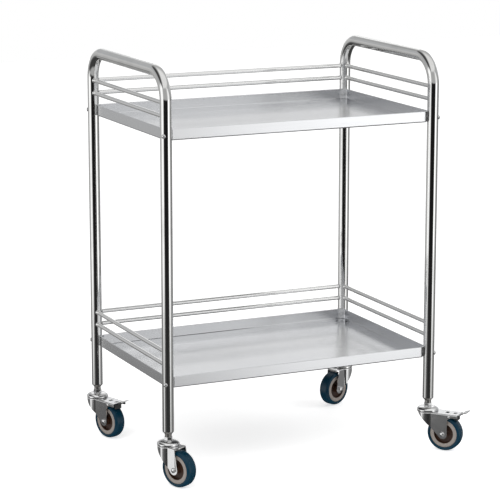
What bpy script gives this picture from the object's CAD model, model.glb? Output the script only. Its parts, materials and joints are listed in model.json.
"""Dresses the instrument trolley: fine pieces and finishes over its frame, and the studio round it."""

import json
import math

import bmesh
import bpy
from mathutils import Matrix, Vector


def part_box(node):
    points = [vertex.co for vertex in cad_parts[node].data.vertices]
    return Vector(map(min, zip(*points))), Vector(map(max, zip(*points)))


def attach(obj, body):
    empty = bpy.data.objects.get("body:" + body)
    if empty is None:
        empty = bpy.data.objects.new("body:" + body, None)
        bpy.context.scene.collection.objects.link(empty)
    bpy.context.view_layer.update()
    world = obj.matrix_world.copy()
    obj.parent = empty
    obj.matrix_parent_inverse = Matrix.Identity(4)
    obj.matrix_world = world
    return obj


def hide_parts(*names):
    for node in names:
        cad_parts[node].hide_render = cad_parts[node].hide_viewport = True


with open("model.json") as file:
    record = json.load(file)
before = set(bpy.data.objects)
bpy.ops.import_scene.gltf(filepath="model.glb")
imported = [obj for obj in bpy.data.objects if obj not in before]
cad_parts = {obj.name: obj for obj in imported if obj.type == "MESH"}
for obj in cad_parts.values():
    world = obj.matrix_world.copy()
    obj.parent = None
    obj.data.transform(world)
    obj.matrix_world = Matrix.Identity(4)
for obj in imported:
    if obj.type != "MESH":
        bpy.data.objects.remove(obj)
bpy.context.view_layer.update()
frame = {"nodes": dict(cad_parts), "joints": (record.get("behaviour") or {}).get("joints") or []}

# Studio: white to the camera, while polished steel shows the room in bands, dark behind the camera and
# below, pale overhead. The floor is pale paper, and two soft lamps light the rubber and the plastic.
# The camera stands where the photograph was taken from, measured from the middle of the four legs.
left_low, left_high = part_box("left_end_frame")
right_low, right_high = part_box("right_end_frame")
LEG_RADIUS = (left_high.x - left_low.x) / 2
LEG_X = ((left_low.x + left_high.x) / 2, (right_low.x + right_high.x) / 2)
LEG_Y = (left_low.y + LEG_RADIUS, left_high.y - LEG_RADIUS)
MIDDLE = Vector((sum(LEG_X) / 2, sum(LEG_Y) / 2, 0))
CAMERA_STANDS = Vector((-2.0649, -4.3814, 1.4602))
CAMERA_TURN = 0.4353
CAMERA_DIP = 0.2068
CAMERA_LENS = 158.4
CAMERA_REACH = 60
FLOOR_SIZE = 14.0
FLOOR_DROP = 0.0004
FLOOR_GLOW = 0.62
LAMP_AIM = (0, 0, 0.4)
SKY = (0.43, 0.44, 0.46, 1)
HIGH_SKY = (0.46, 0.465, 0.47, 1)
BACK_WINDOW = (1.10, 1.10, 1.10, 1)
FAR_CEILING = (0.45, 0.45, 0.45, 1)
DARK_CEILING = (0.06, 0.06, 0.06, 1)
OVERHEAD = (0.85, 0.85, 0.85, 1)
UNDERFOOT = (0.05, 0.05, 0.05, 1)
PALE_GROUND = (0.40, 0.40, 0.40, 1)
# Grey levels round the horizon, each a (turn, level): above the level of the eye, below it and lower down.
UPPER_BAND = (
    (0.00, 0.90), (0.03, 0.70), (0.10, 0.52), (0.14, 0.56), (0.225, 0.44), (0.262, 1.15), (0.36, 1.15),
    (0.392, 0.46), (0.42, 0.42), (0.585, 0.42), (0.61, 0.60), (0.64, 0.90), (0.68, 1.10), (0.74, 0.60),
    (0.77, 0.25), (0.87, 0.60), (0.94, 1.15), (0.985, 1.15), (1.00, 0.90),
)
LEVEL_BAND = (
    (0.00, 0.30), (0.13, 0.48), (0.225, 0.40), (0.262, 1.15), (0.36, 1.15), (0.392, 0.05), (0.42, 0.012),
    (0.585, 0.008), (0.60, 0.05), (0.630, 0.55), (0.640, 1.65), (0.66, 1.55), (0.70, 1.15), (0.74, 0.60),
    (0.77, 0.20), (1.00, 0.30),
)
LOW_BAND = (
    (0.00, 0.40), (0.09, 0.42), (0.125, 0.17), (0.235, 0.10), (0.252, 0.20), (0.275, 0.95), (0.31, 0.75),
    (0.335, 0.16), (0.375, 0.10), (0.41, 0.06), (0.50, 0.02), (0.56, 0.05), (0.632, 0.05), (0.644, 1.55),
    (0.662, 0.55), (0.69, 0.45), (0.75, 0.15), (1.00, 0.40),
)
# Soft edges between the parts of the room, each from where it starts to where it is complete. They are
# heights of the way looked along, or its lean to the right or back towards the camera; the window's is the
# lean to either side, squared.
LOW_EDGE = (-0.28, -0.19)
LEVEL_EDGE = (-0.05, 0.05)
HIGH_SKY_EDGE = (0.24, 0.38)
WALL_TOP_EDGE = (0.14, 0.30)
CEILING_EDGE = (0.42, 0.56)
GROUND_EDGE = (0.33, 0.46)
SILL_EDGE = (0.258, 0.285)
WINDOW_SIDE_EDGE = (0.015, 0.05)
CAMERA_SIDE_EDGE = (0.1, 0.5)
PALE_GROUND_EDGE = (0.2, 0.5)
OVERHEAD_EDGE = (-0.75, -0.2)
DARK_CEILING_EDGE = (-0.6, -0.25)
CAMERA_WALL_RISE = 0.4
CEILING_TILT = 0.14
CEILING_TILT_EDGE = (-0.2, 0.6)
CEILING_LEAN_BACK = 0.6

bpy.ops.object.camera_add(
    location=MIDDLE + CAMERA_STANDS, rotation=(math.pi / 2 - CAMERA_DIP, 0, -CAMERA_TURN)
)
camera = bpy.context.object
camera.name = "studio_camera"
camera.data.lens = CAMERA_LENS
camera.data.clip_end = CAMERA_REACH
bpy.context.scene.camera = camera


def add_node(tree, kind, settings=None, inputs=None):
    """Any node of a tree: its settings come first, then the values or links of its sockets."""
    node = tree.nodes.new(kind)
    for key, value in (settings or {}).items():
        if key == "stops":
            ramp = node.color_ramp
            while len(ramp.elements) < len(value):
                ramp.elements.new(1.0)
            for element, (position, colour) in zip(ramp.elements, value):
                element.position = position
                element.color = (*colour, 1.0)
        else:
            setattr(node, key, value)
    for key, value in (inputs or {}).items():
        feed(tree, node.inputs[key], value)
    return node


def feed(tree, socket, value):
    """Links a socket or a signal, or sets a plain value."""
    if isinstance(value, Signal):
        tree.links.new(value.socket, socket)
    elif isinstance(value, bpy.types.NodeSocket):
        tree.links.new(value, socket)
    else:
        socket.default_value = value


class Signal:
    """A number on its way through a tree; sums on it add Math nodes."""

    def __init__(self, tree, socket):
        self.tree = tree
        self.socket = socket

    def math(self, operation, *values):
        node = add_node(self.tree, "ShaderNodeMath", {"operation": operation}, dict(enumerate(values)))
        return Signal(self.tree, node.outputs[0])

    def __add__(self, other):
        return self.math("ADD", self, other)

    def __radd__(self, other):
        return self.math("ADD", other, self)

    def __sub__(self, other):
        return self.math("SUBTRACT", self, other)

    def __rsub__(self, other):
        return self.math("SUBTRACT", other, self)

    def __mul__(self, other):
        return self.math("MULTIPLY", self, other)

    def __truediv__(self, other):
        return self.math("DIVIDE", self, other)

    def step(self, low, high):
        """0 below low, 1 above high and smooth between."""
        settings = {"interpolation_type": "SMOOTHSTEP"}
        values = {"Value": self, "From Min": low, "From Max": high}
        node = add_node(self.tree, "ShaderNodeMapRange", settings, values)
        return Signal(self.tree, node.outputs["Result"])


def studio_world():
    """Brightness of the room by the way looked along; the camera itself sees plain white."""
    world = bpy.data.worlds.new("studio_room")
    bpy.context.scene.world = world
    world.use_nodes = True
    tree = world.node_tree
    tree.nodes.clear()
    way = add_node(tree, "ShaderNodeTexCoord").outputs["Generated"]
    right = (math.cos(CAMERA_TURN), -math.sin(CAMERA_TURN), 0)
    back = (-math.sin(CAMERA_TURN), -math.cos(CAMERA_TURN), 0)

    def lean(axis):
        """How far the way leans along an axis."""
        dot = add_node(tree, "ShaderNodeVectorMath", {"operation": "DOT_PRODUCT"}, {0: way, 1: axis})
        return Signal(tree, dot.outputs["Value"])

    to_right = lean(right)
    to_back = lean(back)
    turn = to_right.math("ARCTAN2", to_right, to_back) / math.tau + 0.5
    height = Signal(tree, add_node(tree, "ShaderNodeSeparateXYZ", None, {0: way}).outputs["Z"])

    def band(stops):
        """Grey levels by the way's turn about the vertical; 0.5 is straight behind the camera."""
        levels = [(place, (level, level, level)) for place, level in stops]
        return add_node(tree, "ShaderNodeValToRGB", {"stops": levels}, {"Fac": turn}).outputs["Color"]

    def blend(factor, below, above):
        """One part of the room giving way to another."""
        values = {"Factor": factor, "A": below, "B": above}
        return add_node(tree, "ShaderNodeMix", {"data_type": "RGBA"}, values).outputs["Result"]

    camera_side = to_back.step(*CAMERA_SIDE_EDGE)
    far_side = 1.0 - camera_side
    below_level = blend(height.step(*LOW_EDGE), band(LOW_BAND), band(LEVEL_BAND))
    round_room = blend(height.step(*LEVEL_EDGE), below_level, band(UPPER_BAND))
    sky = blend(height.step(*HIGH_SKY_EDGE), SKY, HIGH_SKY)
    off_middle = (to_right * to_right).step(*WINDOW_SIDE_EDGE)
    lit_sky = blend((1.0 - off_middle) * height.step(*SILL_EDGE) * far_side, sky, BACK_WINDOW)
    above_wall = (height - camera_side * CAMERA_WALL_RISE).step(*WALL_TOP_EDGE)
    walls = blend(above_wall, round_room, lit_sky)
    overhead = blend(to_back.step(*OVERHEAD_EDGE), FAR_CEILING, OVERHEAD)
    lopsided = blend(1.0 - to_right.step(*DARK_CEILING_EDGE), overhead, DARK_CEILING)
    tilt = (to_right + to_back * CEILING_LEAN_BACK).step(*CEILING_TILT_EDGE) * CEILING_TILT
    ceiling = blend((height - tilt).step(*CEILING_EDGE), walls, lopsided)
    ground = blend(to_back.step(*PALE_GROUND_EDGE), UNDERFOOT, PALE_GROUND)
    room = blend((0.0 - height).step(*GROUND_EDGE), ceiling, ground)
    seen = add_node(tree, "ShaderNodeLightPath").outputs["Is Camera Ray"]
    light = add_node(tree, "ShaderNodeBackground", None, {"Color": blend(seen, room, (1, 1, 1, 1))})
    add_node(tree, "ShaderNodeOutputWorld", None, {"Surface": light.outputs[0]})


def mix_colours(tree, factor, first, second):
    """A colour between two, plain or linked, by a factor."""
    settings = {"data_type": "RGBA", "clamp_factor": True}
    ends = [(*end, 1) if isinstance(end, tuple) else end for end in (first, second)]
    values = {"Factor": factor, "A": ends[0], "B": ends[1]}
    return add_node(tree, "ShaderNodeMix", settings, values).outputs["Result"]


def grain(tree, vector, scale, detail=3.0, roughness=0.55):
    """Noise as a signal."""
    values = {"Vector": vector, "Scale": scale, "Detail": detail, "Roughness": roughness}
    return Signal(tree, add_node(tree, "ShaderNodeTexNoise", None, values).outputs["Fac"])


def stretched(tree, source, stretch, turn=(0, 0, 0)):
    """Coordinates pulled out along one way, for brush marks."""
    values = {"Vector": source, "Rotation": turn, "Scale": stretch}
    return add_node(tree, "ShaderNodeMapping", None, values).outputs[0]


def new_finish(name, metallic=0.0):
    """An empty finish: its material, its tree, its shader and the object's own coordinates."""
    material = bpy.data.materials.new(name)
    material.use_nodes = True
    tree = material.node_tree
    shader = tree.nodes["Principled BSDF"]
    shader.inputs["Metallic"].default_value = metallic
    place = add_node(tree, "ShaderNodeTexCoord").outputs["Object"]
    return material, tree, shader, place


def add_relief(tree, shader, height, strength, distance):
    """Fine relief from a height signal."""
    values = {"Height": height, "Strength": strength, "Distance": distance}
    bump = add_node(tree, "ShaderNodeBump", None, values)
    tree.links.new(bump.outputs["Normal"], shader.inputs["Normal"])


def paper_floor():
    """Pale seamless paper, lit almost to white."""
    material, tree, shader, place = new_finish("pale_paper")
    mottle = grain(tree, place, 3.0)
    tone = mix_colours(tree, mottle, (0.86, 0.86, 0.86), (0.90, 0.90, 0.90))
    feed(tree, shader.inputs["Base Color"], tone)
    feed(tree, shader.inputs["Roughness"], 0.8 + mottle * 0.1)
    shader.inputs["Emission Color"].default_value = (1, 1, 1, 1)
    shader.inputs["Emission Strength"].default_value = FLOOR_GLOW
    return material


studio_world()
bpy.ops.mesh.primitive_plane_add(size=FLOOR_SIZE, location=(0, 0, -FLOOR_DROP))
floor = bpy.context.object
floor.name = "studio_floor"
floor.data.materials.append(paper_floor())
floor.visible_glossy = False
for lamp_name, lamp_from, lamp_size, lamp_power in (
    ("soft_lamp_left", (-1.9, -1.5, 2.3), 1.6, 34),
    ("soft_lamp_right", (2.4, -0.9, 1.9), 1.2, 14),
):
    bpy.ops.object.light_add(type="AREA", location=lamp_from)
    lamp = bpy.context.object
    lamp.name = lamp_name
    lamp.data.size = lamp_size
    lamp.data.energy = lamp_power
    lamp.visible_glossy = False
    lamp.rotation_euler = (Vector(LAMP_AIM) - lamp.location).to_track_quat("-Z", "Y").to_euler()
bpy.context.scene.view_settings.view_transform = "Standard"

# End frames: each one a single length of 25 mm polished stainless tube bent twice, so that two legs
# and the push handle are one piece. The bends are swept by a rule: a square path, filleted, with
# the tube's section run along it.
HANDLE_TOP = left_high.z
FOOT_HEIGHT = left_low.z
BEND_RADIUS = 0.060
BEND_STEPS = 24
TUBE_FLATS = 64
SHARP_ANGLE = 38


def new_pattern(name, sizes):
    """A geometry tree with named number inputs; returns the tree, its inputs and its start node."""
    tree = bpy.data.node_groups.new(name, "GeometryNodeTree")
    tree.interface.new_socket("Geometry", in_out="INPUT", socket_type="NodeSocketGeometry")
    kinds = {int: "NodeSocketInt", float: "NodeSocketFloat", tuple: "NodeSocketVector"}
    kinds[bpy.types.Object] = "NodeSocketObject"
    for label, value in sizes.items():
        tree.interface.new_socket(label, in_out="INPUT", socket_type=kinds[type(value)])
    tree.interface.new_socket("Geometry", in_out="OUTPUT", socket_type="NodeSocketGeometry")
    return tree, tree.nodes.new("NodeGroupInput").outputs


def close_pattern(tree, geometry, material):
    """Realizes the copies, gives them their finish and ends the tree."""
    real = add_node(tree, "GeometryNodeRealizeInstances", None, {0: geometry})
    smooth = add_node(tree, "GeometryNodeSetShadeSmooth", None, {0: real.outputs[0]})
    dressed = add_node(
        tree, "GeometryNodeSetMaterial", None, {"Geometry": smooth.outputs[0], "Material": material}
    )
    add_node(tree, "NodeGroupOutput", None, {0: dressed.outputs[0]})


def grown(name, tree, start_mesh, sizes):
    """The plain mesh that a pattern makes from a start mesh with these sizes."""
    holder = bpy.data.objects.new(name, start_mesh)
    bpy.context.scene.collection.objects.link(holder)
    modifier = holder.modifiers.new("Pattern", "NODES")
    modifier.node_group = tree
    for item in tree.interface.items_tree:
        if item.in_out == "INPUT" and item.name in sizes:
            modifier[item.identifier] = sizes[item.name]
    graph = bpy.context.evaluated_depsgraph_get()
    mesh = bpy.data.meshes.new_from_object(holder.evaluated_get(graph), depsgraph=graph)
    bpy.data.objects.remove(holder)
    return mesh


def line_mesh(name, points):
    """A chain of edges through points."""
    mesh = bpy.data.meshes.new(name)
    mesh.from_pydata(points, [(step, step + 1) for step in range(len(points) - 1)], [])
    return mesh


def dress(name, mesh, body, nodes, material=None, sharp=SHARP_ANGLE):
    """A finished piece, its flats shaded flat: it rides its body and stands for its CAD nodes."""
    piece = bpy.data.objects.new(name, mesh)
    bpy.context.scene.collection.objects.link(piece)
    if material:
        mesh.materials.clear()
        mesh.materials.append(material)
    mesh.shade_smooth()
    mesh.set_sharp_from_angle(angle=math.radians(sharp))
    weighted = piece.modifiers.new("True flats", "WEIGHTED_NORMAL")
    weighted.keep_sharp = True
    graph = bpy.context.evaluated_depsgraph_get()
    piece.data = bpy.data.meshes.new_from_object(piece.evaluated_get(graph), depsgraph=graph)
    piece.modifiers.clear()
    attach(piece, body)
    if nodes:
        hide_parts(*nodes)
    return piece


def polished_tube():
    """Mirror polish with faint polishing lines and a few dull smears."""
    material, tree, shader, place = new_finish("polished_stainless_tube", 1.0)
    smear = grain(tree, place, 14.0, 4.0).step(0.42, 0.72)
    lines = grain(tree, stretched(tree, place, (40, 40, 1400)), 1.0, 2.0)
    tone = mix_colours(tree, smear, (0.86, 0.86, 0.85), (0.78, 0.78, 0.77))
    feed(tree, shader.inputs["Base Color"], tone)
    feed(tree, shader.inputs["Roughness"], 0.045 + smear * 0.05 + lines * 0.03)
    add_relief(tree, shader, lines, 0.05, 0.00002)
    return material


def tube_pattern(sizes, material):
    """A path with its corners rounded, and the round section swept along it."""
    tree, given = new_pattern("bent_tube", sizes)
    path = add_node(tree, "GeometryNodeMeshToCurve", None, {"Mesh": given["Geometry"]})
    bent = add_node(
        tree,
        "GeometryNodeFilletCurve",
        {"mode": "POLY"},
        {"Curve": path.outputs[0], "Radius": given["Bend Radius"], "Count": given["Bend Steps"]},
    )
    section = add_node(
        tree,
        "GeometryNodeCurvePrimitiveCircle",
        None,
        {"Resolution": given["Flats"], "Radius": given["Tube Radius"]},
    )
    swept = add_node(
        tree,
        "GeometryNodeCurveToMesh",
        None,
        {"Curve": bent.outputs[0], "Profile Curve": section.outputs[0], "Fill Caps": True},
    )
    close_pattern(tree, swept.outputs[0], material)
    return tree


tube_sizes = {
    "Tube Radius": LEG_RADIUS,
    "Bend Radius": BEND_RADIUS,
    "Bend Steps": BEND_STEPS,
    "Flats": TUBE_FLATS,
}
bent_tube = tube_pattern(tube_sizes, polished_tube())
for tube_name, tube_x in zip(("left_end_frame", "right_end_frame"), LEG_X):
    square_path = [
        (tube_x, LEG_Y[0], FOOT_HEIGHT),
        (tube_x, LEG_Y[0], HANDLE_TOP - LEG_RADIUS),
        (tube_x, LEG_Y[1], HANDLE_TOP - LEG_RADIUS),
        (tube_x, LEG_Y[1], FOOT_HEIGHT),
    ]
    tube_mesh = grown(tube_name, bent_tube, line_mesh(tube_name, square_path), tube_sizes)
    dress(tube_name + "_tube", tube_mesh, "frame", [tube_name])

# Guard rails: 9.5 mm bright rod, cut to length and welded to the legs, with the weld dressed to a
# small flare. A pair stands above each tray at both ends and along the back.
WELD_REACH = 0.0030
WELD_FLARE = 0.0016
WELD_RINGS = 8
WELD_DEPTH = 0.93
ROD_FLATS = 32


def bright_rod(name, stretch):
    """Drawn and polished rod: drawing lines run along it, a little less clear than the tube."""
    material, tree, shader, place = new_finish(name, 1.0)
    draw = grain(tree, stretched(tree, place, stretch), 1.0, 4.0)
    dulled = grain(tree, place, 40.0, 3.0)
    tone = mix_colours(tree, draw, (0.86, 0.86, 0.85), (0.93, 0.93, 0.93))
    feed(tree, shader.inputs["Base Color"], tone)
    feed(tree, shader.inputs["Roughness"], 0.03 + draw * 0.03 + dulled * 0.03)
    add_relief(tree, shader, draw, 0.04, 0.00002)
    return material


def rod_pattern(sizes, material):
    """A straight rod whose radius opens at both ends into the weld."""
    tree, given = new_pattern("welded_rod", sizes)
    path = add_node(tree, "GeometryNodeMeshToCurve", None, {"Mesh": given["Geometry"]})
    along = add_node(tree, "GeometryNodeSplineParameter")
    length = Signal(tree, along.outputs["Length"])
    total = Signal(tree, given["Rod Length"])
    from_end = length.math("MINIMUM", length, total - length)
    reach = from_end / Signal(tree, given["Weld Reach"])
    near = 1.0 - reach.math("MINIMUM", reach, 1.0)
    radius = Signal(tree, given["Rod Radius"]) + near * near * Signal(tree, given["Weld Flare"])
    section = add_node(
        tree, "GeometryNodeCurvePrimitiveCircle", None, {"Resolution": given["Flats"], "Radius": 1.0}
    )
    swept = add_node(
        tree,
        "GeometryNodeCurveToMesh",
        None,
        {"Curve": path.outputs[0], "Profile Curve": section.outputs[0], "Scale": radius, "Fill Caps": True},
    )
    close_pattern(tree, swept.outputs[0], material)
    return tree


rail_finishes = (bright_rod("bright_rod_rear", (9, 800, 800)), bright_rod("bright_rod_side", (800, 9, 800)))
rail_sizes = {
    "Rod Radius": 0.0,
    "Rod Length": 0.0,
    "Weld Reach": WELD_REACH,
    "Weld Flare": WELD_FLARE,
    "Flats": ROD_FLATS,
}
welded_rod = rod_pattern(rail_sizes, rail_finishes[0])
for rail_name in sorted(name for name in frame["nodes"] if "_rail_" in name):
    rail_low, rail_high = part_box(rail_name)
    rail_middle = (rail_low + rail_high) / 2
    run = 0 if rail_name.startswith("rear") else 1
    ends = []
    for leg in (LEG_X, LEG_Y)[run]:
        end = rail_middle.copy()
        end[run] = leg + math.copysign(LEG_RADIUS * WELD_DEPTH, rail_middle[run] - leg)
        ends.append(end)
    across = 1 - run
    along_rod = (ends[1] - ends[0]).normalized()
    rings = [WELD_REACH * step / WELD_RINGS for step in range(WELD_RINGS + 1)]
    rod_path = [ends[0] + along_rod * reach for reach in rings]
    rod_path += [ends[1] - along_rod * reach for reach in reversed(rings)]
    rail_sizes["Rod Radius"] = (rail_high[across] - rail_low[across]) / 2
    rail_sizes["Rod Length"] = (ends[1] - ends[0]).length
    rail_mesh = grown(rail_name, welded_rod, line_mesh(rail_name, rod_path), rail_sizes)
    dress(rail_name + "_rod", rail_mesh, "frame", [rail_name], rail_finishes[run])

# Trays: two pans folded from 1.2 mm satin stainless sheet, the rim hemmed over inside, the corners
# cut at 45 degrees to sit against the legs. A nut is pressed into each cut corner for its bolt.
SHEET = 0.0012
TRAY_BEND = 0.003
HEM_DROP = 0.006
CORNER_EASE = 0.003
CORNER_POINTS = 6
BEND_RINGS = 8
HEM_RINGS = 10
FLAT_MARGIN = 0.002
SEAT_GAP = 0.0003
HEM_INSET = 1.02
BOLT_DROP = 0.0125
NUT_BORE = 0.0026
NUT_SINK = 0.9
NUT_LENGTH = 0.008
NUT_RADIUS = 0.0045
NUT_CHAMFER = 0.0007
NUT_FLATS = 32


def satin_sheet():
    """Satin rolled sheet: grinding lines along the length, soft clouding and a few fine scratches."""
    material, tree, shader, place = new_finish("satin_stainless_sheet", 1.0)
    lines = grain(tree, stretched(tree, place, (6, 900, 900)), 1.0, 4.0, 0.7)
    cloud = grain(tree, place, 5.0, 3.0)
    scratch = grain(tree, stretched(tree, place, (14, 420, 420), (0, 0, 0.35)), 1.0, 2.0).step(0.70, 0.78)
    tone = mix_colours(tree, cloud, (0.76, 0.77, 0.79), (0.84, 0.845, 0.855))
    feed(tree, shader.inputs["Base Color"], tone)
    feed(tree, shader.inputs["Roughness"], 0.15 + cloud * 0.06 + lines * 0.08 + scratch * 0.08)
    add_relief(tree, shader, lines + scratch * 0.5, 0.10, 0.00003)
    return material


def arc(centre, radius, start, end, steps):
    """Points of an arc in a plane, both ends included; radius is a number or a pair."""
    wide, tall = radius if isinstance(radius, tuple) else (radius, radius)
    angles = [start + (end - start) * step / steps for step in range(steps + 1)]
    return [(centre[0] + wide * math.cos(a), centre[1] + tall * math.sin(a)) for a in angles]


def tray_ring(half_x, half_y, cut_line, inset, height):
    """One level of the pan: its plan at an inset, each corner a soft bend."""
    half_x, half_y = half_x - inset, half_y - inset
    cut_line = cut_line - inset * math.sqrt(2)
    corners = [(half_x, half_x - cut_line), (half_x, cut_line - half_x), (cut_line - half_y, half_y)]
    corners += [(half_y - cut_line, half_y), (-half_x, cut_line - half_x), (-half_x, half_x - cut_line)]
    corners += [(half_y - cut_line, -half_y), (cut_line - half_y, -half_y)]
    ease = max(CORNER_EASE - inset, CORNER_EASE / 4)
    ring = []
    for index, corner in enumerate(corners):
        corner = Vector(corner)
        before = (Vector(corners[index - 1]) - corner).normalized() * ease
        after = (Vector(corners[(index + 1) % 8]) - corner).normalized() * ease
        for step in range(CORNER_POINTS + 1):
            share = step / CORNER_POINTS
            point = corner + before * (1 - share) ** 2 + after * share**2
            ring.append((point.x + MIDDLE.x, point.y + MIDDLE.y, height))
    return ring


def pan_mesh(name):
    """The folded pan, lofted through its rings from the underside over the rim to the floor."""
    low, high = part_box(name)
    half_x = (high.x - low.x) / 2
    half_y = (high.y - low.y) / 2
    legs_apart = LEG_X[1] - LEG_X[0] + LEG_Y[1] - LEG_Y[0]
    cut_line = legs_apart / 2 - (LEG_RADIUS + SEAT_GAP) * math.sqrt(2)
    fold = low.z + TRAY_BEND
    level = math.pi
    profile = [(TRAY_BEND + FLAT_MARGIN, low.z)]
    profile += arc((TRAY_BEND, fold), TRAY_BEND, 1.5 * math.pi, level, BEND_RINGS)
    profile += arc((SHEET, high.z - SHEET), SHEET, level, 0, HEM_RINGS)
    profile += [(2 * SHEET, high.z - HEM_DROP), (SHEET * HEM_INSET, high.z - HEM_DROP)]
    profile += arc((TRAY_BEND, fold), TRAY_BEND - SHEET, level, 1.5 * math.pi, BEND_RINGS)
    profile += [(TRAY_BEND + FLAT_MARGIN, low.z + SHEET)]
    rings = [tray_ring(half_x, half_y, cut_line, inset, height) for inset, height in profile]
    return lofted(name, rings)


def lofted(name, rings):
    """A closed form through rings of points, all with as many points, and flat across both ends."""
    shape = bmesh.new()
    loops = [[shape.verts.new(point) for point in ring] for ring in rings]
    for lower, upper in zip(loops, loops[1:]):
        for index in range(len(lower)):
            after = (index + 1) % len(lower)
            shape.faces.new((lower[index], lower[after], upper[after], upper[index]))
    shape.faces.new(reversed(loops[0]))
    shape.faces.new(loops[-1])
    return settled(name, shape)


def settled(name, shape):
    """A mesh from a built form, its doubles merged and its faces turned outwards."""
    bmesh.ops.remove_doubles(shape, verts=shape.verts, dist=0.000002)
    bmesh.ops.recalc_face_normals(shape, faces=shape.faces)
    mesh = bpy.data.meshes.new(name)
    shape.to_mesh(mesh)
    shape.free()
    return mesh


def circle(radius, sides):
    """Points round the origin."""
    angles = [math.tau * side / sides for side in range(sides)]
    return [(radius * math.cos(angle), radius * math.sin(angle)) for angle in angles]


def turned(name, profile, sides, closed=False):
    """A turned form from (radius, height) points, with UVs round it and along its profile."""
    points = profile + profile[:1] if closed else profile
    along = [0.0]
    for before, after in zip(points, points[1:]):
        along.append(along[-1] + math.dist(before, after))
    shape = bmesh.new()
    layer = shape.loops.layers.uv.new("surface")
    rings = []
    for radius, height in points:
        rings.append([shape.verts.new((x, y, height)) for x, y in circle(radius, sides)])
    for row, (lower, upper) in enumerate(zip(rings, rings[1:])):
        for side in range(sides):
            after = (side + 1) % sides
            face = shape.faces.new((lower[side], lower[after], upper[after], upper[side]))
            spots = ((side, row), (side + 1, row), (side + 1, row + 1), (side, row + 1))
            for loop, (turn, level) in zip(face.loops, spots):
                loop[layer].uv = (turn / sides, along[level])
    return settled(name, shape)


def copies_pattern(name, sizes, material):
    """A form set on every point of a mesh, its axis along the point's own facing."""
    tree, given = new_pattern(name, sizes)
    vectors = {"data_type": "FLOAT_VECTOR"}
    facing = add_node(tree, "GeometryNodeInputNamedAttribute", vectors, {"Name": "facing"})
    turn = add_node(
        tree, "FunctionNodeAlignRotationToVector", {"axis": "Z"}, {"Vector": facing.outputs["Attribute"]}
    )
    form = add_node(tree, "GeometryNodeObjectInfo", None, {"Object": given["Form"]})
    sized = add_node(
        tree,
        "GeometryNodeTransform",
        None,
        {"Geometry": form.outputs["Geometry"], "Scale": given["Form Scale"]},
    )
    copies = add_node(
        tree,
        "GeometryNodeInstanceOnPoints",
        None,
        {"Points": given["Geometry"], "Instance": sized.outputs[0], "Rotation": turn.outputs[0]},
    )
    close_pattern(tree, copies.outputs[0], material)
    return tree


def set_on_points(name, form_mesh, spots, material):
    """The plain mesh of a form copied to (place, facing) spots."""
    form = bpy.data.objects.new(name + "_form", form_mesh)
    bpy.context.scene.collection.objects.link(form)
    start = bpy.data.meshes.new(name)
    start.from_pydata([place for place, _ in spots], [], [])
    facing = start.attributes.new("facing", "FLOAT_VECTOR", "POINT")
    facing.data.foreach_set("vector", [value for _, way in spots for value in way])
    sizes = {"Form": form, "Form Scale": (1.0, 1.0, 1.0)}
    mesh = grown(name, copies_pattern(name + "_copies", sizes, material), start, sizes)
    bpy.data.objects.remove(form)
    return mesh


def leg_spots(height, outward, reach):
    """Places at every leg on the 45 degree line through it, with the way out from the middle."""
    spots = []
    for x in LEG_X:
        for y in LEG_Y:
            way = Vector((math.copysign(1, x - MIDDLE.x), math.copysign(1, y - MIDDLE.y), 0)).normalized()
            spots.append((Vector((x, y, height)) + way * reach, way * outward))
    return spots


sheet_finish = satin_sheet()
nut_profile = [(NUT_BORE, 0.0), (NUT_RADIUS, 0.0), (NUT_RADIUS, NUT_LENGTH - NUT_CHAMFER)]
nut_profile += [(NUT_RADIUS - NUT_CHAMFER, NUT_LENGTH), (NUT_BORE, NUT_LENGTH)]
for tray_name in ("lower_tray", "upper_tray"):
    dress(tray_name + "_pan", pan_mesh(tray_name), "frame", [tray_name], sheet_finish)
    tray_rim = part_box(tray_name)[1].z
    nut_seat = LEG_RADIUS + SEAT_GAP + SHEET * NUT_SINK
    nut_spots = leg_spots(tray_rim - BOLT_DROP, -1, -nut_seat)
    nut_mesh = turned("pressed_nut", nut_profile, NUT_FLATS, closed=True)
    nuts = set_on_points(tray_name + "_nuts", nut_mesh, nut_spots, sheet_finish)
    dress(tray_name + "_nuts", nuts, "frame", [])

# Tray bolts: bright plated M5 bolts with pressed domed heads, put through each leg at 45 degrees and
# run into the trays' nuts. One form is copied to all eight places.
BOLT_RADIUS = 0.0025
BOLT_HEAD_RADIUS = 0.0045
BOLT_HEAD_HEIGHT = 0.0032
BOLT_POINT = 0.8
BOLT_POINT_LENGTH = 0.0006
HEAD_EDGE = 0.0007
HEAD_RINGS = 10
SCREW_SIDES = 48


def bright_plating(name, tone, dulled):
    """Bright zinc plate: nearly a mirror, with faint cloudy dulling and pin-point grime."""
    material, tree, shader, place = new_finish(name, 1.0)
    cloud = grain(tree, place, 90.0, 4.0)
    pits = grain(tree, place, 900.0, 2.0).step(0.66, 0.76)
    darker = tuple(value * 0.86 for value in tone)
    feed(tree, shader.inputs["Base Color"], mix_colours(tree, cloud * 0.7 + pits * 0.3, tone, darker))
    feed(tree, shader.inputs["Roughness"], dulled + cloud * 0.08 + pits * 0.10)
    add_relief(tree, shader, cloud + pits * 0.2, 0.08, 0.00008)
    return material


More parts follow.
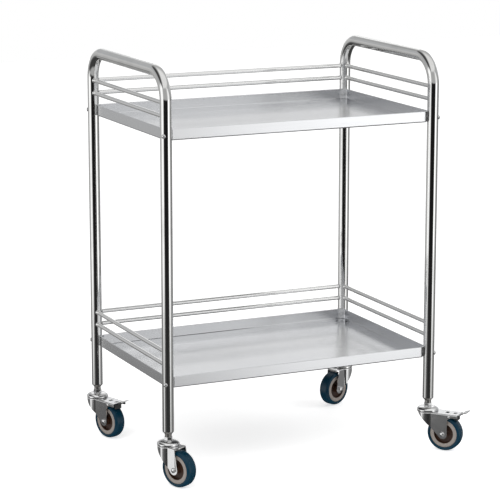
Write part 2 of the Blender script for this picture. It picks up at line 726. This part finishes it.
plated_bolts = bright_plating("bright_plated_bolts", (0.84, 0.84, 0.84), 0.10)
bolt_seat = LEG_RADIUS + SEAT_GAP
bolt_tip = -bolt_seat - SHEET - NUT_LENGTH
bolt_profile = [(0, bolt_tip), (BOLT_RADIUS * BOLT_POINT, bolt_tip)]
bolt_profile += [(BOLT_RADIUS, bolt_tip + BOLT_POINT_LENGTH)]
bolt_profile += [(BOLT_RADIUS, bolt_seat), (BOLT_HEAD_RADIUS, bolt_seat)]
dome_radii = (BOLT_HEAD_RADIUS, BOLT_HEAD_HEIGHT - HEAD_EDGE)
bolt_profile += arc((0, bolt_seat + HEAD_EDGE), dome_radii, 0, math.pi / 2, HEAD_RINGS)
bolt_form = turned("tray_bolt", bolt_profile, SCREW_SIDES)
bolt_spots = []
for tray_name in ("lower_tray", "upper_tray"):
    bolt_spots += leg_spots(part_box(tray_name)[1].z - BOLT_DROP, 1, 0)
bolts = set_on_points("tray_bolts", bolt_form, bolt_spots, plated_bolts)
bolt_nodes = [name for name in frame["nodes"] if name.startswith("tray_bolt_")]
dress("tray_bolts", bolts, "frame", bolt_nodes)

# Leg plugs: turned steel, driven into the foot of each leg and tapped for the castor's stem. Below the
# tube they show as a short cone and a neck, left duller than the tube.
PLUG_NECK_RADIUS = 0.0075
PLUG_CONE = 0.006
PLUG_CHAMFER = 0.0005
PLUG_BORE = 0.0053
TURNED_SIDES = 72
TUBE_WALL = 0.0012


def dull_turned_steel():
    """Turned steel that has darkened, with the lathe's rings still showing."""
    material, tree, shader, place = new_finish("darkened_turned_steel", 1.0)
    rings = grain(tree, stretched(tree, place, (30, 30, 2600)), 1.0, 3.0)
    stain = grain(tree, place, 160.0, 4.0)
    tone = mix_colours(tree, stain, (0.50, 0.49, 0.47), (0.26, 0.25, 0.24))
    feed(tree, shader.inputs["Base Color"], tone)
    feed(tree, shader.inputs["Roughness"], 0.20 + stain * 0.14 + rings * 0.08)
    add_relief(tree, shader, rings, 0.15, 0.00003)
    return material


plug_low, plug_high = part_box("leg_plug_front_left")
plug_shoulder = FOOT_HEIGHT - SEAT_GAP
plug_shank = LEG_RADIUS - TUBE_WALL - SEAT_GAP
plug_profile = [
    (PLUG_BORE, plug_high.z),
    (plug_shank, plug_high.z),
    (plug_shank, plug_shoulder),
    (LEG_RADIUS - PLUG_CHAMFER, plug_shoulder),
    (LEG_RADIUS, plug_shoulder - PLUG_CHAMFER),
    (PLUG_NECK_RADIUS + PLUG_CHAMFER, plug_shoulder - PLUG_CONE + PLUG_CHAMFER),
    (PLUG_NECK_RADIUS, plug_shoulder - PLUG_CONE),
    (PLUG_NECK_RADIUS, plug_low.z),
    (PLUG_BORE, plug_low.z),
]
plug_form = turned("leg_plug", plug_profile, TURNED_SIDES, closed=True)
plug_spots = [((x, y, 0), (0, 0, 1)) for x in LEG_X for y in LEG_Y]
plugs = set_on_points("leg_plugs", plug_form, plug_spots, dull_turned_steel())
plug_nodes = [name for name in frame["nodes"] if name.startswith("leg_plug_")]
dress("leg_plugs", plugs, "frame", plug_nodes)

# Castor stems: a threaded shank screwed into the leg plug, a hex collar that takes the spanner, and a
# kingpin riveted over under the fork. Bright zinc over turned steel.
STEM_RADIUS = 0.005
STEM_CHAMFER = 0.0008
COLLAR_WIDTH = 0.016
COLLAR_CHAMFER = 0.0010
COLLAR_RINGS = 6
COLLAR_END = 0.985
COLLAR_SLOPE = 1.6
HEX_POINTS = 96
KINGPIN_HEAD = 0.008
KINGPIN_TIP = 0.006
KINGPIN_RIM = 0.0004
RIVET_FLAT = 0.9
RIVET_EDGE = 0.0003
FORK_SHEET = 0.002
RACE_HEIGHT = 0.003
TURN_GAP = 0.0004
UPRIGHT = Matrix.Rotation(math.pi / 2, 4, "X")
CORNERS = ("front_left", "front_right", "rear_left", "rear_right")
JOINTS = {joint["name"]: joint for joint in frame["joints"]}
BRAKED = [corner for corner in CORNERS if "brake_" + corner in JOINTS]


def castor_place(corner):
    """The castor's own axes: up its swivel, with the axle behind along X. Also the axle's own place."""
    swivel = Vector(JOINTS["swivel_" + corner]["pos_m"])
    axle = Vector(JOINTS["roll_" + corner]["pos_m"])
    back = Vector((axle.x - swivel.x, axle.y - swivel.y))
    turn = Matrix.Rotation(math.atan2(back.y, back.x), 4, "Z")
    place = Matrix.Translation((swivel.x, swivel.y, 0)) @ turn
    return place, place @ Matrix.Translation((back.length, 0, axle.z)) @ UPRIGHT


def moved(mesh, place):
    """A copy of a mesh in another place."""
    mesh = mesh.copy()
    mesh.transform(place)
    return mesh


def hexagon(width, limit, level):
    """Points round a hexagon, given across its flats, its corners turned off at a radius."""
    points = []
    for step in range(HEX_POINTS):
        angle = math.tau * step / HEX_POINTS
        from_flat = angle % (math.pi / 3) - math.pi / 6
        radius = min(width / 2 / math.cos(from_flat), limit)
        points.append((radius * math.cos(angle), radius * math.sin(angle), level))
    return points


def collar_mesh(low, high):
    """A hexagon whose corners are turned off at both ends."""
    rises = [COLLAR_CHAMFER * step / COLLAR_RINGS for step in range(COLLAR_RINGS + 1)]
    levels = [low + rise for rise in rises] + [high - rise for rise in reversed(rises)]
    rings = []
    for level in levels:
        limit = COLLAR_WIDTH / 2 * COLLAR_END + min(level - low, high - level) * COLLAR_SLOPE
        rings.append(hexagon(COLLAR_WIDTH, limit, level))
    return lofted("stem_collar", rings)


def joined(name, *meshes):
    """Several meshes as one."""
    shape = bmesh.new()
    for mesh in meshes:
        shape.from_mesh(mesh)
    return settled(name, shape)


castor_zinc = bright_plating("bright_zinc_castor", (0.94, 0.94, 0.94), 0.05)
cap_low, cap_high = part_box("swivel_cap_front_left")
stem_low, stem_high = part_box("castor_stem_front_left")
fork_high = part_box("castor_fork_front_left")[1].z
kingpin_top = fork_high - RACE_HEIGHT - FORK_SHEET - TURN_GAP
collar_low = cap_high.z + SEAT_GAP
collar_high = plug_low.z - SEAT_GAP
stem_profile = [
    (0, stem_low.z),
    (KINGPIN_TIP * RIVET_FLAT, stem_low.z),
    (KINGPIN_TIP, stem_low.z + RIVET_EDGE),
    (KINGPIN_HEAD, kingpin_top - KINGPIN_RIM),
    (KINGPIN_HEAD, kingpin_top),
    (STEM_RADIUS, kingpin_top),
    (STEM_RADIUS, stem_high.z - STEM_CHAMFER),
    (STEM_RADIUS - STEM_CHAMFER, stem_high.z),
    (0, stem_high.z),
]
stem_form = turned("castor_stem", stem_profile, TURNED_SIDES)
collar_form = collar_mesh(collar_low, collar_high)
for corner in CORNERS:
    stem_mesh = moved(joined("castor_stem", stem_form, collar_form), castor_place(corner)[0])
    dress("stem_" + corner, stem_mesh, "frame", ["castor_stem_" + corner], castor_zinc)

# Swivel caps: a cup pressed from thin bright sheet that hides the ball race, with a rolled lower edge
# and a soft dome up to the collar.
CAP_RADIUS = (cap_high.x - cap_low.x) / 2
CAP_FLAT = 0.010
CAP_SKIRT = 0.0025
CAP_EDGE = 0.0006
CAP_RECESS = 0.0208
CAP_DOME_RINGS = 14
CAP_EDGE_RINGS = 5
CAP_SIDES = 96

cap_ceiling = fork_high + SEAT_GAP
dome_size = (CAP_RADIUS - CAP_FLAT, cap_high.z - cap_low.z - CAP_SKIRT)
cap_profile = [(STEM_RADIUS + SEAT_GAP, cap_high.z)]
cap_profile += arc((CAP_FLAT, cap_low.z + CAP_SKIRT), dome_size, math.pi / 2, 0, CAP_DOME_RINGS)
edge_centre = (CAP_RADIUS - CAP_EDGE, cap_low.z + CAP_EDGE)
cap_profile += arc(edge_centre, CAP_EDGE, 0, -math.pi / 2, CAP_EDGE_RINGS)
cap_profile += [(CAP_RECESS, cap_low.z), (CAP_RECESS, cap_ceiling), (STEM_RADIUS + SEAT_GAP, cap_ceiling)]
cap_form = turned("swivel_cap", cap_profile, CAP_SIDES, closed=True)
for corner in CORNERS:
    cap_mesh = moved(cap_form, castor_place(corner)[0])
    dress("cap_" + corner, cap_mesh, "frame", ["swivel_cap_" + corner], castor_zinc)

# Castor forks: pressed from one 2 mm sheet, round about the swivel in front and straight behind, folded
# down into two cheeks with round eyes at the axle. The braked ones run back into a slotted lip.
FORK_HALF = 0.019
CROWN_RADIUS = 0.024
RACE_RADIUS = 0.020
EYE_RADIUS = 0.0105
FOLD_RADIUS = 0.0024
BRAKED_LEAD = 0.017
PLAIN_LEAD = 0.018
BRAKED_LIP = 0.077
PLAIN_LIP = 0.033
CHEEK_REAR = 0.053
ARCH_LENGTH = 0.013
ARCH_DROP = 0.018
LIP_DEPTH = 0.0075
LIP_SLOTS = (0.048, 0.067)
SLOT_SIZE = (0.008, 0.011)
SLOT_ROUND = 0.002
AXLE_RADIUS = 0.004
PIN_RADIUS = 0.002
FORK_ARC = 20
CROWN_ARC = 64
SLOT_ARC = 6
FOLD_STEPS = 4
SOFT_EDGE = 0.00022
SOFT_STEPS = 2
SOFT_ANGLE = 50
PRESSED_SHARP = 28


def curve_form(curve):
    """The closed mesh of a curve, which is then dropped."""
    holder = bpy.data.objects.new(curve.name, curve)
    bpy.context.scene.collection.objects.link(holder)
    graph = bpy.context.evaluated_depsgraph_get()
    mesh = bpy.data.meshes.new_from_object(holder.evaluated_get(graph))
    bpy.data.objects.remove(holder)
    shape = bmesh.new()
    shape.from_mesh(mesh)
    return settled(curve.name, shape)


def plate(name, points, thickness, rounding=0.0):
    """A flat outline given a thickness about its own plane, its edges rounded where asked."""
    curve = bpy.data.curves.new(name, "CURVE")
    curve.dimensions = "2D"
    curve.fill_mode = "BOTH"
    curve.extrude = thickness / 2 - rounding
    curve.bevel_depth = rounding
    curve.offset = -rounding
    curve.bevel_resolution = FOLD_STEPS
    spline = curve.splines.new("POLY")
    spline.points.add(len(points) - 1)
    for slot, (x, y) in zip(spline.points, points):
        slot.co = (x, y, 0, 1)
    spline.use_cyclic_u = True
    return curve_form(curve)


def cut(mesh, *tools):
    """A mesh after Boolean steps, each an operation with its tool, and its edges softened."""
    piece = bpy.data.objects.new(mesh.name, mesh)
    bpy.context.scene.collection.objects.link(piece)
    holders = []
    for operation, tool in tools:
        holder = bpy.data.objects.new(tool.name, tool)
        bpy.context.scene.collection.objects.link(holder)
        holders.append(holder)
        modifier = piece.modifiers.new(tool.name, "BOOLEAN")
        modifier.operation = operation
        modifier.solver = "EXACT"
        modifier.object = holder
    soft = piece.modifiers.new("Soft edges", "BEVEL")
    soft.width = SOFT_EDGE
    soft.segments = SOFT_STEPS
    soft.limit_method = "ANGLE"
    soft.angle_limit = math.radians(SOFT_ANGLE)
    graph = bpy.context.evaluated_depsgraph_get()
    result = bpy.data.meshes.new_from_object(piece.evaluated_get(graph))
    for holder in (piece, *holders):
        bpy.data.objects.remove(holder)
    return result


def fork_plan(radius, half_width, rear):
    """Plan of the yoke: round about the stem in front, straight behind."""
    crease = math.asin(half_width / radius)
    front = arc((0, 0), radius, crease, math.tau - crease, CROWN_ARC)
    return [*front, (rear, -half_width), (rear, half_width)]


def touch_angle(outside, centre, radius, side):
    """The angle at which a line from an outside point touches a circle."""
    away = Vector(outside) - Vector(centre)
    return math.atan2(away.y, away.x) + side * math.acos(radius / away.length)


def cheek_view(trail, axle_height, crown, braked):
    """Side view of the yoke in (back, up): slanted in front, round at the axle, arched behind."""
    eye = (trail, axle_height)
    under = crown - FORK_SHEET
    top = crown + FORK_SHEET
    lead = (-BRAKED_LEAD if braked else -PLAIN_LEAD, under)
    lip = BRAKED_LIP if braked else PLAIN_LIP
    if braked:
        arch_size = (ARCH_LENGTH, ARCH_DROP - LIP_DEPTH)
        arch = arc((CHEEK_REAR + ARCH_LENGTH, crown - ARCH_DROP), arch_size, math.pi, math.pi / 2, FORK_ARC)
        tail = [*arch, (lip, crown - LIP_DEPTH), (lip, top)]
    else:
        tail = [(lip, under), (lip, top)]
    start = touch_angle(lead, eye, EYE_RADIUS, 1)
    end = touch_angle(tail[0], eye, EYE_RADIUS, -1)
    if end < start:
        end += math.tau
    eye_arc = arc(eye, EYE_RADIUS, start, end, 2 * FORK_ARC)
    return [(-2 * CROWN_RADIUS, top), (-2 * CROWN_RADIUS, under), lead, *eye_arc, *tail]


def post(name, radius, length, place):
    """A round tool along Z about a place."""
    half = length / 2
    mesh = turned(name, [(0, -half), (radius, -half), (radius, half), (0, half)], TURNED_SIDES)
    mesh.transform(place)
    return mesh


def lip_holes(crown):
    """Steps that cut the braked fork's lip: the pin's hole and the two rounded slots."""
    swivel = Vector(JOINTS["swivel_" + BRAKED[0]]["pos_m"])
    pin = Vector(JOINTS["brake_" + BRAKED[0]]["pos_m"])
    pin_line = Matrix.Translation(((pin - swivel).xy.length, 0, pin.z)) @ UPRIGHT
    steps = [("DIFFERENCE", post("pin_hole", PIN_RADIUS + SEAT_GAP, 4 * FORK_HALF, pin_line))]
    half = (SLOT_SIZE[0] / 2 - SLOT_ROUND, SLOT_SIZE[1] / 2 - SLOT_ROUND)
    outline = []
    for quarter, (x, y) in enumerate(((1, 1), (-1, 1), (-1, -1), (1, -1))):
        start = quarter * math.pi / 2
        corner_centre = (x * half[0], y * half[1])
        outline += arc(corner_centre, SLOT_ROUND, start, start + math.pi / 2, SLOT_ARC)
    for back in LIP_SLOTS:
        slot = plate("lip_slot", outline, 4 * FORK_SHEET)
        slot.transform(Matrix.Translation((back, 0, crown)))
        steps.append(("DIFFERENCE", slot))
    return steps


def fork_mesh(trail, axle_height, crown, braked):
    """The yoke: plan and side view crossed, hollowed to the sheet, with its race and its holes."""
    tail = (BRAKED_LIP if braked else PLAIN_LIP) + EYE_RADIUS + trail
    height = 2 * crown
    block = plate("fork_plan", fork_plan(CROWN_RADIUS, FORK_HALF, tail), height, FOLD_RADIUS)
    block.transform(Matrix.Translation((0, 0, crown - height / 2)))
    side = plate("fork_side", cheek_view(trail, axle_height, crown, braked), 4 * CROWN_RADIUS)
    side.transform(UPRIGHT)
    inner = fork_plan(CROWN_RADIUS - FORK_SHEET, FORK_HALF - FORK_SHEET, tail * 1.5)
    hollow = plate("fork_hollow", inner, height)
    hollow.transform(Matrix.Translation((0, 0, crown - FORK_SHEET - height / 2)))
    race_place = Matrix.Translation((0, 0, crown + RACE_HEIGHT / 2 - FORK_SHEET / 4))
    kingpin_line = Matrix.Translation((0, 0, crown))
    axle_line = Matrix.Translation((trail, 0, axle_height)) @ UPRIGHT
    steps = [
        ("INTERSECT", side),
        ("DIFFERENCE", hollow),
        ("UNION", post("race", RACE_RADIUS, RACE_HEIGHT + FORK_SHEET / 2, race_place)),
        ("DIFFERENCE", post("kingpin_hole", STEM_RADIUS + TURN_GAP, crown, kingpin_line)),
        ("DIFFERENCE", post("axle_hole", AXLE_RADIUS + SEAT_GAP, 4 * FORK_HALF, axle_line)),
    ]
    if braked:
        steps += lip_holes(crown)
    return cut(block, *steps)


crown_height = fork_high - RACE_HEIGHT
for corner in CORNERS:
    swivel_place, axle_place = castor_place(corner)
    axle_from_swivel = swivel_place.inverted() @ axle_place.translation
    has_brake = corner in BRAKED
    fork = fork_mesh(axle_from_swivel.x, axle_from_swivel.z, crown_height, has_brake)
    fork.transform(swivel_place)
    body = "castor_" + corner
    fork_nodes = ["castor_fork_" + corner]
    dress("fork_" + corner, fork, body, fork_nodes, castor_zinc, PRESSED_SHARP)

# Axles: a plated bolt with a domed head through both cheeks, and a domed hex nut on its far end. The
# head stands on the outer side of the cheek that faces the swivel's left.
AXLE_HEAD_RADIUS = 0.0055
AXLE_HEAD_HEIGHT = 0.0032
AXLE_CHAMFER = 0.0005
NUT_HEIGHT = 0.007
NUT_FLAT_HEIGHT = 0.0042
NUT_WALL = 0.0018
NUT_WIDTH = 0.012
HEX_CORNER = 1 / math.cos(math.pi / 6)

axle_seat = FORK_HALF + SEAT_GAP
axle_tip = -axle_seat - NUT_HEIGHT + NUT_WALL + SEAT_GAP
axle_profile = [(0, axle_tip), (AXLE_RADIUS - AXLE_CHAMFER, axle_tip)]
axle_profile += [(AXLE_RADIUS, axle_tip + AXLE_CHAMFER)]
axle_profile += [(AXLE_RADIUS, axle_seat), (AXLE_HEAD_RADIUS, axle_seat)]
head_radii = (AXLE_HEAD_RADIUS, AXLE_HEAD_HEIGHT - HEAD_EDGE)
axle_profile += arc((0, axle_seat + HEAD_EDGE), head_radii, 0, math.pi / 2, HEAD_RINGS)
axle_form = turned("axle_bolt", axle_profile, SCREW_SIDES)


def axle_nut_mesh(seat):
    """A hex nut on its seat with a domed closed end, from the dome's top down and up inside the bore."""
    corner_radius = NUT_WIDTH / 2 * HEX_CORNER
    dome_size = (corner_radius, NUT_HEIGHT - NUT_FLAT_HEIGHT)
    dome = arc((0, seat + NUT_FLAT_HEIGHT), dome_size, math.pi / 2, 0, HEAD_RINGS)
    outside = dome[1:-1] + [(corner_radius, seat + NUT_FLAT_HEIGHT), (corner_radius, seat)]
    rings = [hexagon(NUT_WIDTH, radius, level) for radius, level in outside]
    bore = circle((AXLE_RADIUS + SEAT_GAP) * HEX_CORNER, HEX_POINTS)
    for level in (seat, seat + NUT_HEIGHT - NUT_WALL):
        rings.append([(x, y, level) for x, y in bore])
    return lofted("axle_nut", rings)


nut_form = axle_nut_mesh(axle_seat)
nut_form.transform(Matrix.Rotation(math.pi, 4, "X"))
for corner in CORNERS:
    axle_place = castor_place(corner)[1]
    body = "castor_" + corner
    bolt_here = moved(axle_form, axle_place)
    dress("axle_" + corner, bolt_here, body, ["axle_bolt_" + corner], plated_bolts)
    nut_here = moved(nut_form, axle_place)
    dress("axle_nut_" + corner + "_hex", nut_here, body, ["axle_nut_" + corner], plated_bolts)

# Wheel cores: moulded grey-brown plastic, a broad rim ring round a dished web and a plain hub. The
# dish is left a dark warm brown.
WHEEL_SIDES = 128
RIM_RADIUS = 0.0315
RIM_HALF = 0.012
RECESS_RADIUS = 0.023
RIM_DRAFT = 0.001
RIB_HEIGHT = 0.002
RIB_HALF = 0.003
HUB_RADIUS = 0.009
WEB_HALF = 0.004
RIM_EDGE = 0.0006
HUB_FILLET = 0.0015
DISH_FILLET = 0.002
DISH_LIP = 0.0003
LEDGE_START = 0.0022
LEDGE_FOOT = 0.0018
LEDGE_END = 0.0012
LEDGE_DROP = 0.0003
EDGE_RINGS = 4
FILLET_RINGS = 6
DISH_FADE = (-0.0006, 0.0002)


def reach_signal(tree):
    """The distance from the turning axis that mark_reach keeps on the mesh."""
    kept = add_node(tree, "ShaderNodeAttribute", {"attribute_name": "from_axis"})
    return Signal(tree, kept.outputs["Fac"])


def moulded_plastic():
    """Moulded plastic, pale on the rim ring and dark brown in the dish, with a fine mould texture."""
    material, tree, shader, place = new_finish("moulded_rim_plastic")
    uv = add_node(tree, "ShaderNodeUVMap", {"uv_map": "surface"}).outputs[0]
    ring = reach_signal(tree).step(*(RECESS_RADIUS + offset for offset in DISH_FADE))
    speckle = grain(tree, place, 1500.0, 3.0)
    swirl = grain(tree, stretched(tree, uv, (3, 400, 1)), 1.0, 3.0)
    dish = mix_colours(tree, speckle, (0.030, 0.012, 0.006), (0.060, 0.026, 0.014))
    pale = mix_colours(tree, swirl * 0.6 + speckle * 0.4, (0.215, 0.185, 0.165), (0.300, 0.270, 0.245))
    feed(tree, shader.inputs["Base Color"], mix_colours(tree, ring, dish, pale))
    feed(tree, shader.inputs["Roughness"], 0.42 + speckle * 0.12)
    add_relief(tree, shader, speckle, 0.10, 0.00005)
    return material


def mirrored(half):
    """A closed profile from its upper half."""
    return half + [(radius, -height) for radius, height in reversed(half)]


def mark_reach(mesh):
    """Keeps every point's distance from the turning axis as an attribute."""
    reach = mesh.attributes.new("from_axis", "FLOAT", "POINT")
    reach.data.foreach_set("value", [vertex.co.xy.length for vertex in mesh.vertices])
    return mesh


hub_end = FORK_HALF - FORK_SHEET - SEAT_GAP
core_half = [(AXLE_RADIUS + TURN_GAP, hub_end), (HUB_RADIUS - RIM_EDGE, hub_end)]
hub_edge = (HUB_RADIUS - RIM_EDGE, hub_end - RIM_EDGE)
core_half += arc(hub_edge, RIM_EDGE, math.pi / 2, 0, EDGE_RINGS)[1:]
hub_foot = (HUB_RADIUS + HUB_FILLET, WEB_HALF + HUB_FILLET)
core_half += arc(hub_foot, HUB_FILLET, math.pi, 1.5 * math.pi, FILLET_RINGS)
dish_foot = (RECESS_RADIUS - RIM_DRAFT - DISH_FILLET, WEB_HALF + DISH_FILLET)
core_half += arc(dish_foot, DISH_FILLET, 1.5 * math.pi, math.tau, FILLET_RINGS)
core_half += [(RECESS_RADIUS - DISH_LIP, RIM_HALF - RIM_EDGE)]
ring_edge = (RECESS_RADIUS + DISH_LIP, RIM_HALF - RIM_EDGE)
core_half += arc(ring_edge, RIM_EDGE, math.pi, math.pi / 2, EDGE_RINGS)[1:]
core_half += [(RIM_RADIUS - LEDGE_START, RIM_HALF), (RIM_RADIUS - LEDGE_FOOT, RIM_HALF - LEDGE_DROP)]
core_half += [(RIM_RADIUS - LEDGE_END, RIM_HALF - LEDGE_DROP), (RIM_RADIUS, RIM_HALF - 2 * LEDGE_DROP)]
core_half += [(RIM_RADIUS, RIB_HALF), (RIM_RADIUS + RIB_HEIGHT, RIB_HALF)]
core_form = mark_reach(turned("wheel_core", mirrored(core_half), WHEEL_SIDES, closed=True))
rim_finish = moulded_plastic()
for corner in CORNERS:
    core_mesh = moved(core_form, castor_place(corner)[1])
    body = "wheel_" + corner
    dress("core_" + corner, core_mesh, body, ["wheel_core_" + corner], rim_finish)

# Tyres: deep blue rubber moulded round the rim, with round shoulders, a low crown and the mould's
# parting line round the middle of the tread.
TYRE_RADIUS = 0.040
TYRE_HALF = 0.0135
TREAD_HALF = 0.005
BEAD_RADIUS = 0.0343
BEAD_CHAMFER = 0.001
BEAD_CURVE = (0.0006, 0.0004)
PARTING_LINE = 0.00012
PARTING_FOOT = 0.0004
PARTING_CREST = 0.0001
SHOULDER_RINGS = 16
TREAD_FADE = (-0.0012, -0.0002)


def blue_rubber():
    """Smooth deep blue rubber, a little dusty and scuffed on the tread."""
    material, tree, shader, place = new_finish("deep_blue_rubber")
    uv = add_node(tree, "ShaderNodeUVMap", {"uv_map": "surface"}).outputs[0]
    tread = reach_signal(tree).step(*(TYRE_RADIUS + offset for offset in TREAD_FADE))
    dust = grain(tree, place, 220.0, 4.0).step(0.45, 0.75)
    skin = grain(tree, place, 2600.0, 3.0)
    flow = grain(tree, stretched(tree, uv, (5, 260, 1)), 1.0, 3.0)
    deep = mix_colours(tree, flow, (0.0004, 0.017, 0.034), (0.0008, 0.034, 0.062))
    worn = mix_colours(tree, tread * dust * 0.02, deep, (0.03, 0.07, 0.10))
    feed(tree, shader.inputs["Base Color"], worn)
    feed(tree, shader.inputs["Roughness"], 0.20 + skin * 0.06 + dust * tread * 0.08)
    shader.inputs["Specular IOR Level"].default_value = 0.27
    add_relief(tree, shader, skin + flow * 0.3, 0.10, 0.00004)
    return material


tyre_seat = RIM_RADIUS + SEAT_GAP
groove = RIM_RADIUS + RIB_HEIGHT + SEAT_GAP
tyre_half = [(groove, RIB_HALF + SEAT_GAP), (tyre_seat, RIB_HALF + SEAT_GAP)]
tyre_half += [(tyre_seat, TYRE_HALF - BEAD_CHAMFER)]
tyre_half += [(tyre_seat + BEAD_CURVE[0], TYRE_HALF - BEAD_CURVE[1])]
tread_radius = TYRE_RADIUS - PARTING_LINE
shoulder = (tread_radius - BEAD_RADIUS, TYRE_HALF - TREAD_HALF)
tyre_half += arc((BEAD_RADIUS, TREAD_HALF), shoulder, math.pi / 2, 0, SHOULDER_RINGS)
tyre_half += [(tread_radius, PARTING_FOOT), (TYRE_RADIUS, PARTING_CREST)]
tyre_form = mark_reach(turned("tyre", mirrored(tyre_half), WHEEL_SIDES, closed=True))
rubber = blue_rubber()
for corner in CORNERS:
    tyre_mesh = moved(tyre_form, castor_place(corner)[1])
    body = "wheel_" + corner
    dress("tyre_" + corner + "_rubber", tyre_mesh, body, ["tyre_" + corner], rubber)

# Brake pedals: a lever bent from 2 mm sheet on a rivet under the fork's lip, its shoe over the tread and
# its tip turned up behind the lip for the foot, with pressed grip ribs across it.
PEDAL_SHEET = 0.002
PEDAL_HALF = 0.012
PEDAL_REACH = 0.097
PEDAL_RISE = 0.007
KNUCKLE_RADIUS = 0.0032
SHOE_BEARING = math.radians(50)
SHOE_LENGTH = 0.004
SHOE_HALF = 0.0085
SHOE_START = 1.2
GRIP_RIBS = 3
GRIP_PITCH = 0.0024
GRIP_RADIUS = 0.0006
GRIP_SPAN = 0.8


def strip(path, thickness):
    """Outline of a bent sheet seen on its edge, from its centreline."""
    left, right = [], []
    for index, point in enumerate(path):
        way = Vector(path[min(index + 1, len(path) - 1)]) - Vector(path[max(index - 1, 0)])
        offset = Vector((-way.y, way.x)).normalized() * thickness / 2
        left.append(tuple(Vector(point) + offset))
        right.append(tuple(Vector(point) - offset))
    return left + right[::-1]


def softened(path, share=0.35, rounds=2):
    """A path whose corners are cut back twice, so that every bend has a radius."""
    for _ in range(rounds):
        finer = [path[0]]
        for before, after in zip(path, path[1:]):
            start, end = Vector(before), Vector(after)
            finer += [tuple(start.lerp(end, share)), tuple(end.lerp(start, share))]
        path = finer + [path[-1]]
    return path


def dark_shoe():
    """The shoe's face: black moulded rubber, scuffed where it meets the tread."""
    material, tree, shader, place = new_finish("black_brake_shoe")
    scuff = grain(tree, place, 700.0, 4.0)
    tone = mix_colours(tree, scuff, (0.010, 0.010, 0.011), (0.035, 0.034, 0.033))
    feed(tree, shader.inputs["Base Color"], tone)
    feed(tree, shader.inputs["Roughness"], 0.45 + scuff * 0.25)
    add_relief(tree, shader, scuff, 0.2, 0.00006)
    return material


def shoe_mesh(pin, trail, axle_height, arm):
    """The block under the lever, so long that its tip meets the tread when the pedal is down."""
    tread = TYRE_RADIUS + SEAT_GAP
    axle = Vector((trail, axle_height))
    pressed = axle + tread * Vector((math.cos(SHOE_BEARING), math.sin(SHOE_BEARING)))
    travel = math.radians(JOINTS["brake_" + BRAKED[0]]["range_deg"][1])
    tip = Vector(pin) + Matrix.Rotation(travel, 2) @ (pressed - Vector(pin))
    rear = tip.x + SHOE_LENGTH
    shoe = plate("shoe", [(tip.x, tip.y), (rear, tip.y), (rear, arm), (tip.x, arm)], 2 * SHOE_HALF)
    shoe.transform(UPRIGHT)
    return shoe


def grip_ribs(start, end):
    """Steps that add round ribs across the top of the pedal's last stretch."""
    back_along = (Vector(start) - Vector(end)).normalized()
    raised = Vector((back_along.y, -back_along.x)) * PEDAL_SHEET / 2
    steps = []
    for rib in range(GRIP_RIBS):
        rib_at = Vector(end) + raised + back_along * GRIP_PITCH * (rib + 1)
        rib_place = Matrix.Translation((rib_at.x, 0, rib_at.y)) @ UPRIGHT
        steps.append(("UNION", post("grip_rib", GRIP_RADIUS, 2 * PEDAL_HALF * GRIP_SPAN, rib_place)))
    return steps


def pedal_mesh(pin, trail, axle_height, crown):
    """The bent lever with its knuckle, its shoe, its bore and its ribs; the shoe has its own finish."""
    arm = pin[1] + KNUCKLE_RADIUS - PEDAL_SHEET / 2
    heel = BRAKED_LIP + PEDAL_SHEET / 2
    path = [(pin[0], arm), (heel, arm), (heel + 1.5 * PEDAL_SHEET, arm + PEDAL_SHEET)]
    path += [(heel + 3 * PEDAL_SHEET, crown + PEDAL_SHEET)]
    path += [(heel + 4.5 * PEDAL_SHEET, crown + 2 * PEDAL_SHEET), (PEDAL_REACH, crown + PEDAL_RISE)]
    lever = plate("pedal", strip(softened(path), PEDAL_SHEET), 2 * PEDAL_HALF)
    lever.transform(UPRIGHT)
    pin_line = Matrix.Translation((pin[0], 0, pin[1])) @ UPRIGHT
    pedal = cut(
        lever,
        ("UNION", post("knuckle", KNUCKLE_RADIUS, 2 * PEDAL_HALF, pin_line)),
        ("UNION", shoe_mesh(pin, trail, axle_height, arm)),
        ("DIFFERENCE", post("pedal_bore", PIN_RADIUS + TURN_GAP, 4 * PEDAL_HALF, pin_line)),
        *grip_ribs(*path[-2:]),
    )
    pedal.materials.clear()
    for finish in (castor_zinc, shoe_finish):
        pedal.materials.append(finish)
    for face in pedal.polygons:
        behind_knuckle = face.center.x > pin[0] + SHOE_START * KNUCKLE_RADIUS
        face.material_index = int(behind_knuckle and face.center.z < pin[1])
    return pedal


shoe_finish = dark_shoe()
for corner in BRAKED:
    swivel_place, axle_place = castor_place(corner)
    axle_at = swivel_place.inverted() @ axle_place.translation
    pin_at = swivel_place.inverted() @ Vector(JOINTS["brake_" + corner]["pos_m"])
    pedal = pedal_mesh((pin_at.x, pin_at.z), axle_at.x, axle_at.z, crown_height)
    pedal.transform(swivel_place)
    name = "pedal_" + corner
    dress(name, pedal, name, ["brake_pedal_" + corner], sharp=PRESSED_SHARP)

# Brake pins: plain rivets across the fork's lip, closed over at both ends, that the pedals turn on.
PIN_HEAD_RADIUS = 0.0032
PIN_HEAD_HEIGHT = 0.0012

pin_half = arc((0, axle_seat), (PIN_HEAD_RADIUS, PIN_HEAD_HEIGHT), math.pi / 2, 0, HEAD_RINGS)
pin_half += [(PIN_RADIUS, axle_seat)]
pin_form = turned("brake_pin", mirrored(pin_half), SCREW_SIDES)
for corner in BRAKED:
    swivel_place = castor_place(corner)[0]
    pin_at = swivel_place.inverted() @ Vector(JOINTS["brake_" + corner]["pos_m"])
    pin_mesh = moved(pin_form, swivel_place @ Matrix.Translation(pin_at) @ UPRIGHT)
    body = "castor_" + corner
    dress("pin_" + corner, pin_mesh, body, ["brake_pin_" + corner], castor_zinc)
